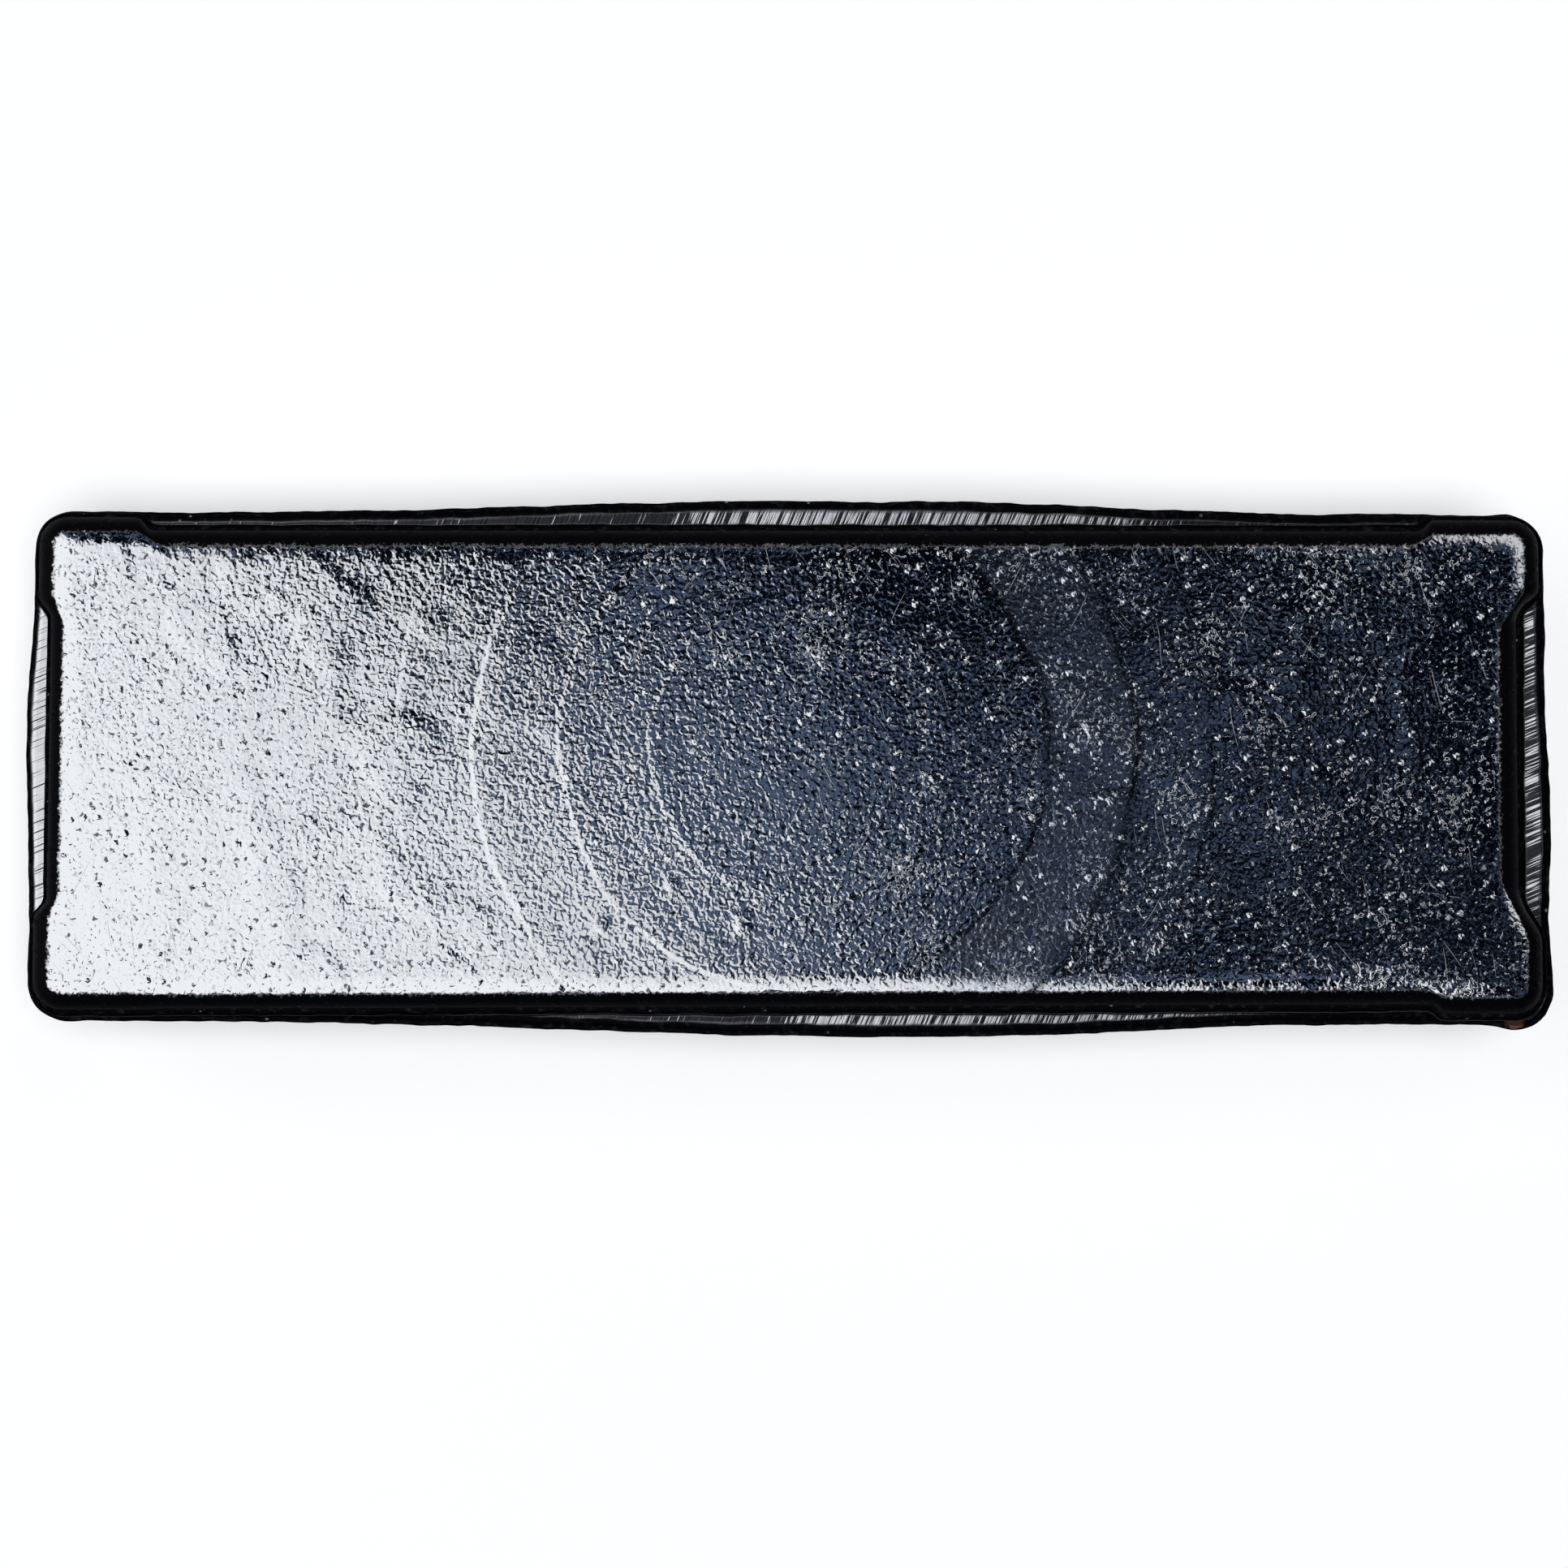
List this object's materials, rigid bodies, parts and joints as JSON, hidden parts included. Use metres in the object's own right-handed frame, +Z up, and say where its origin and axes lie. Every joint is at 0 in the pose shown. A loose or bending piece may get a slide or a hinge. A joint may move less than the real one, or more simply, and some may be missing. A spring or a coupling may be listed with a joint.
{
  "type": "metal ingot",
  "caption": "Cast white-metal ingot: drafted rectangular bar with a rounded crown, a stepped seat along each side and a poured face marked by setting rings; stock that lies on its base.",
  "frame": {"origin": "centre of the base, on the surface that the bar lies on", "axes": "+X along the length, +Y across the width, +Z up through the poured face"},
  "size_m": [0.118, 0.0416, 0.0214],
  "materials": {
    "cast_metal": "gloss"
  },
  "bodies": {
    "root": {"ingot": "cast_metal"}
  },
  "joints": []
}
